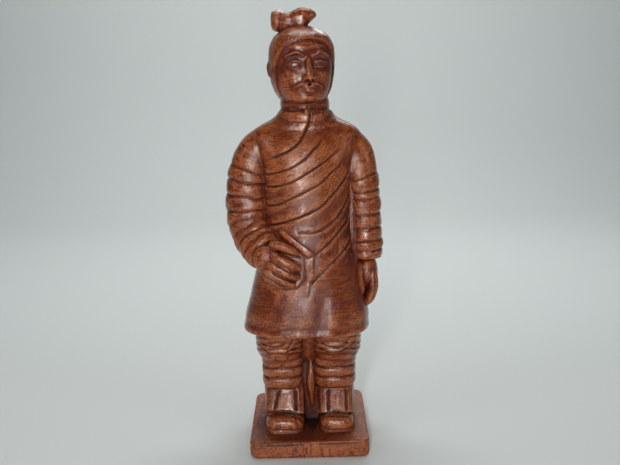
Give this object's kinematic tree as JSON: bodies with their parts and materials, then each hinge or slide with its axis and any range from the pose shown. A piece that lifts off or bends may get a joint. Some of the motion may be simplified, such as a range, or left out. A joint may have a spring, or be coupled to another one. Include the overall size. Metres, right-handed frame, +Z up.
{
  "type": "terracotta warrior statue",
  "caption": "Standing clay warrior with topknot, wrapped coat, puffed sleeves and banded legs, one hand on its belly, on a low square plinth that carries it",
  "frame": {"origin": "under the middle of the plinth, on the surface that it stands on", "axes": "+Z up, -Y the way the figure faces, +X its own left hand"},
  "size_m": [0.2004, 0.162, 0.5589],
  "materials": {
    "clay": "red-brown fired clay under a brushed-on, half-glossy varnish"
  },
  "bodies": {
    "root": {"warrior_on_plinth": "clay"}
  },
  "joints": []
}
